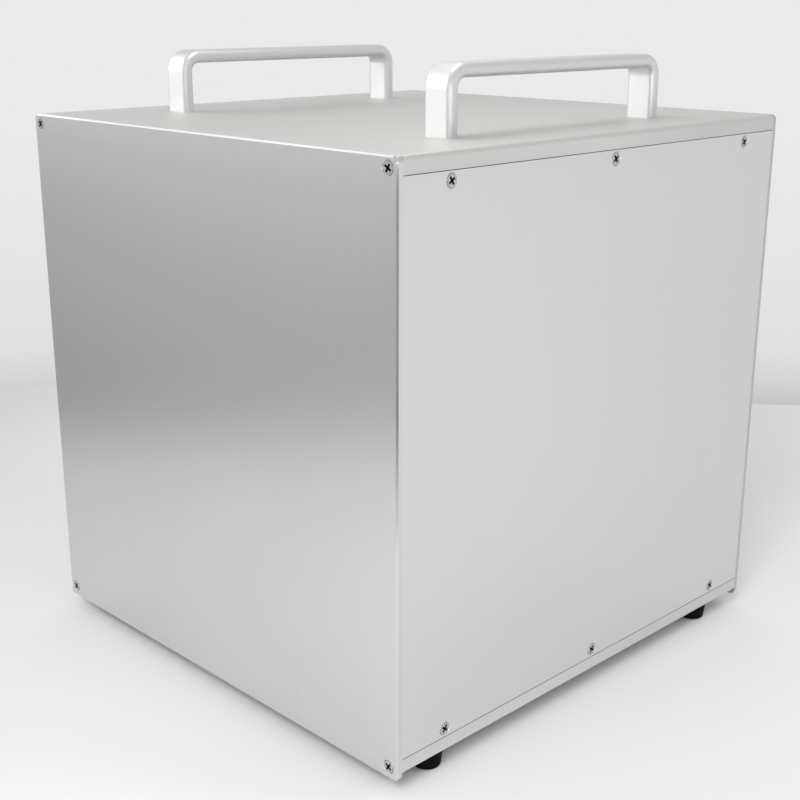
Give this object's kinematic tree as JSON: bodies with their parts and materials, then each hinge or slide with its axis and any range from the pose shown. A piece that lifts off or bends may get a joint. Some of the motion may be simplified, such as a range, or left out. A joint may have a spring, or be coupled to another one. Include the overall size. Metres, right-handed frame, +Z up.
{
  "type": "amplifier chassis",
  "caption": "Cube-shaped aluminium enclosure with extruded covers, flat screwed panels, bent bar carrying handles on top and small rubber feet, to hold an amplifier circuit",
  "frame": {"origin": "on the floor under the middle of the case, level with the bottoms of the feet", "axes": "+Z up, -Y towards the front panel, +X to the right as the front panel is faced"},
  "size_m": [0.25, 0.256, 0.2885],
  "materials": {
    "panel": "brushed",
    "cover": "brushed",
    "side": "satin",
    "handle": "satin",
    "hardware": "zinc plated",
    "screw": "nickel plated",
    "foot": "matt"
  },
  "bodies": {
    "root": {"front_panel": "panel", "rear_panel": "panel", "top_cover": "cover", "bottom_cover": "cover", "left_side_panel": "side", "right_side_panel": "side", "left_handle": "handle", "right_handle": "handle", "handle_screws": "hardware", "handle_lock_washers": "hardware", "handle_washers": "hardware", "front_panel_screws": "screw", "rear_panel_screws": "screw", "left_panel_screws": "screw", "right_panel_screws": "screw", "front_left_foot": "foot", "front_right_foot": "foot", "rear_left_foot": "foot", "rear_right_foot": "foot", "foot_washers": "hardware", "foot_screws": "hardware"}
  },
  "joints": []
}
